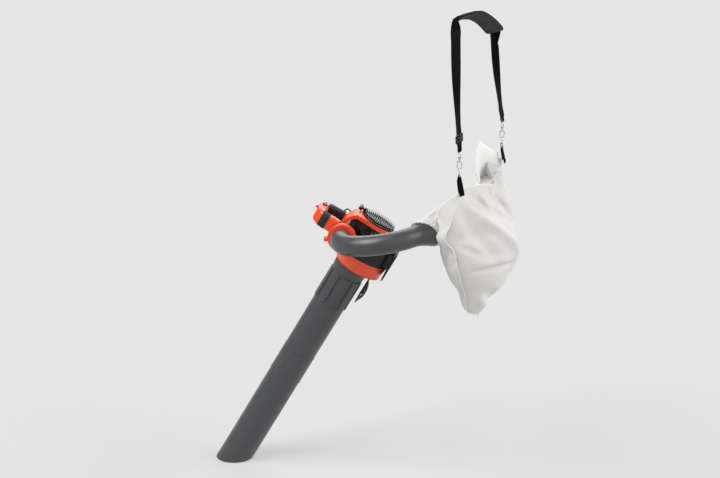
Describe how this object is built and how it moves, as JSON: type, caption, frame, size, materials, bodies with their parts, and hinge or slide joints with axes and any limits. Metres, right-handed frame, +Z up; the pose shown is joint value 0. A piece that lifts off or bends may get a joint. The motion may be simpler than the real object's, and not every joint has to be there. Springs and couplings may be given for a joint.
{
  "type": "leaf vacuum mulcher",
  "caption": "Hand-held petrol leaf vacuum with slanted intake tube, shredding fan, curved elbow, fabric collection bag and padded shoulder strap.",
  "frame": {"origin": "centre of the hand grip on top of the handle", "axes": "+Z up when the machine is held in use, +X from the nozzle side towards the bag, +Y to the rear, away from the outlet"},
  "size_m": [1.0953, 0.4765, 1.6814],
  "materials": {
    "orange_shell": "moulded, satin gloss",
    "grey_tube": "blow-moulded, fine texture",
    "black_case": "moulded, fine texture",
    "soft_grip": "matt, grained",
    "red_control": "moulded",
    "tank_shell": "blow-moulded",
    "bag_cloth": "woven polyester",
    "webbing": "woven webbing",
    "pad_cloth": "padded cloth",
    "bright_steel": "plated",
    "machined_steel": "machined",
    "cast_alloy": "as cast",
    "muffler_steel": "heat-proof paint",
    "fan_plastic": "glass-filled, moulded",
    "black_rubber": "matt",
    "filter_foam": "felt",
    "clear_rubber": "clear bulb"
  },
  "bodies": {
    "machine": {"fan_housing_inlet": "orange_shell", "fan_housing_engine": "black_case", "outlet_snout": "orange_shell", "elbow_clamp": "orange_shell", "elbow": "grey_tube", "crankcase": "cast_alloy", "cylinder": "cast_alloy", "crank_bearings": "machined_steel", "muffler": "muffler_steel", "muffler_guard": "black_case", "heat_shield": "cast_alloy", "carburettor": "cast_alloy", "filter_housing": "black_case", "filter_element": "filter_foam", "ignition_coil": "black_case", "spark_lead": "black_rubber", "spark_plug": "machined_steel", "plug_boot": "black_rubber", "starter_cover": "black_case", "engine_cowl": "orange_shell", "fuel_tank": "tank_shell", "handle_shell_left": "orange_shell", "handle_shell_right": "orange_shell", "grip_insert": "soft_grip", "throttle_cable": "black_rubber", "case_screws": "machined_steel", "bag": "bag_cloth", "bag_loops": "webbing", "bag_rings": "bright_steel", "strap_near": "webbing", "strap_far": "webbing", "shoulder_pad": "pad_cloth", "strap_eyes": "bright_steel"},
    "rotor": {"crankshaft": "machined_steel", "flywheel": "cast_alloy", "impeller": "fan_plastic", "mulching_blade": "machined_steel", "fan_nut": "machined_steel"},
    "piston_group": {"piston": "cast_alloy", "connecting_rod": "machined_steel", "piston_pins": "machined_steel"},
    "pulley": {"starter_pulley": "fan_plastic", "recoil_spring": "machined_steel"},
    "starter_grip": {"starter_handle": "black_case"},
    "trigger": {"throttle_trigger": "black_case"},
    "cruise": {"cruise_lever": "black_case"},
    "stop": {"stop_switch": "red_control"},
    "choke": {"choke_lever": "red_control"},
    "primer": {"primer_bulb": "clear_rubber"},
    "tank_cap": {"fuel_cap": "black_case"},
    "filter_lid": {"filter_cover": "black_case"},
    "guard": {"intake_guard": "black_case"},
    "upper_tube": {"vac_tube_upper": "grey_tube"},
    "lower_tube": {"vac_tube_lower": "grey_tube"},
    "knob": {"clamp_knob": "orange_shell"},
    "near_hook": {"snap_hook_near": "bright_steel"},
    "far_hook": {"snap_hook_far": "bright_steel"},
    "near_gate": {"hook_gate_near": "bright_steel"},
    "far_gate": {"hook_gate_far": "bright_steel"},
    "strap_slider": {"strap_adjuster": "black_case"}
  },
  "joints": [
    {"name": "fan_spin", "type": "hinge", "parent": "machine", "child": "rotor", "pos_m": [0.17408, -0.05037, -0.09704], "axis": [0.5, 0, 0.866], "continuous": true},
    {"name": "piston_slide", "type": "slide", "parent": "machine", "child": "piston_group", "axis": [0.8529, -0.1736, -0.4924], "range_m": [0, 0.029]},
    {"name": "starter_pull", "type": "slide", "parent": "machine", "child": "starter_grip", "axis": [-0.8529, 0.1736, 0.4924], "range_m": [0, 0.55], "stiffness_N_per_m": 12, "springref_m": -0.3},
    {"name": "pulley_spin", "type": "hinge", "parent": "machine", "child": "pulley", "pos_m": [0.21408, -0.05037, -0.02776], "axis": [0.5, 0, 0.866], "range_deg": [0, 1510]},
    {"name": "throttle_pull", "type": "hinge", "parent": "machine", "child": "trigger", "pos_m": [0.01836, 0.03383, -0.0106], "axis": [-0.5, 0, -0.866], "range_deg": [0, 13], "stiffness_Nm_per_rad": 0.5, "springref_deg": -17.19},
    {"name": "cruise_turn", "type": "hinge", "parent": "machine", "child": "cruise", "pos_m": [0.02443, 0.01321, 0.01938], "axis": [0.5, 0, 0.866], "range_deg": [0, 50]},
    {"name": "stop_rock", "type": "hinge", "parent": "machine", "child": "stop", "pos_m": [0.00361, 0.0409, -0.00208], "axis": [0.5, 0, 0.866], "range_deg": [-12, 12]},
    {"name": "choke_turn", "type": "hinge", "parent": "machine", "child": "choke", "pos_m": [0.1849, 0.02847, -0.05941], "axis": [0.8529, -0.1736, -0.4924], "range_deg": [0, 60]},
    {"name": "primer_push", "type": "slide", "parent": "machine", "child": "primer", "axis": [-0.5, 0, -0.866], "range_m": [0, 0.0045], "stiffness_N_per_m": 400, "springref_m": -0.003},
    {"name": "fuel_cap_turn", "type": "hinge", "parent": "machine", "child": "tank_cap", "pos_m": [0.27384, -0.00355, -0.1073], "axis": [0.1504, 0.9848, -0.0868], "range_deg": [0, 360]},
    {"name": "filter_cover_open", "type": "hinge", "parent": "machine", "child": "filter_lid", "pos_m": [0.19011, 0.03889, -0.05202], "axis": [-0.5, 0, -0.866], "range_deg": [0, 100]},
    {"name": "guard_swing", "type": "hinge", "parent": "machine", "child": "guard", "pos_m": [0.19784, -0.03147, -0.23316], "axis": [-0.1504, -0.9848, 0.0868], "range_deg": [0, 40], "stiffness_Nm_per_rad": 0.06, "springref_deg": -68.75},
    {"name": "upper_tube_twist", "type": "hinge", "parent": "machine", "child": "upper_tube", "pos_m": [0.11908, -0.05037, -0.19231], "axis": [-0.5, 0, -0.866], "range_deg": [0, 28]},
    {"name": "lower_tube_twist", "type": "hinge", "parent": "upper_tube", "child": "lower_tube", "pos_m": [-0.09592, -0.05037, -0.5647], "axis": [-0.5, 0, -0.866], "range_deg": [0, 28]},
    {"name": "clamp_knob_turn", "type": "hinge", "parent": "machine", "child": "knob", "pos_m": [0.03234, -0.14142, -0.05658], "axis": [-0.9839, 0.1405, -0.1107], "range_deg": [0, 720]},
    {"name": "near_hook_swivel", "type": "hinge", "parent": "machine", "child": "near_hook", "pos_m": [0.47708, -0.34291, 0.29665], "axis": [0, 0, 1], "range_deg": [-40, 40]},
    {"name": "near_gate_open", "type": "hinge", "parent": "near_hook", "child": "near_gate", "pos_m": [0.48434, -0.34291, 0.28065], "axis": [0, 1, 0], "range_deg": [0, 25], "stiffness_Nm_per_rad": 0.01, "springref_deg": -34.38},
    {"name": "far_hook_swivel", "type": "hinge", "parent": "machine", "child": "far_hook", "pos_m": [0.65292, 0.04291, 0.29665], "axis": [0, 0, 1], "range_deg": [-40, 40]},
    {"name": "far_gate_open", "type": "hinge", "parent": "far_hook", "child": "far_gate", "pos_m": [0.66017, 0.04291, 0.28065], "axis": [0, 1, 0], "range_deg": [0, 25], "stiffness_Nm_per_rad": 0.01, "springref_deg": -34.38},
    {"name": "strap_slide", "type": "slide", "parent": "machine", "child": "strap_slider", "axis": [-0.0158, 0.5426, 0.8399], "range_m": [0, 0.25]}
  ],
  "couplings": [
    {"joint": "pulley_spin", "follows": "starter_pull", "rad_per_m": 47.619}
  ]
}
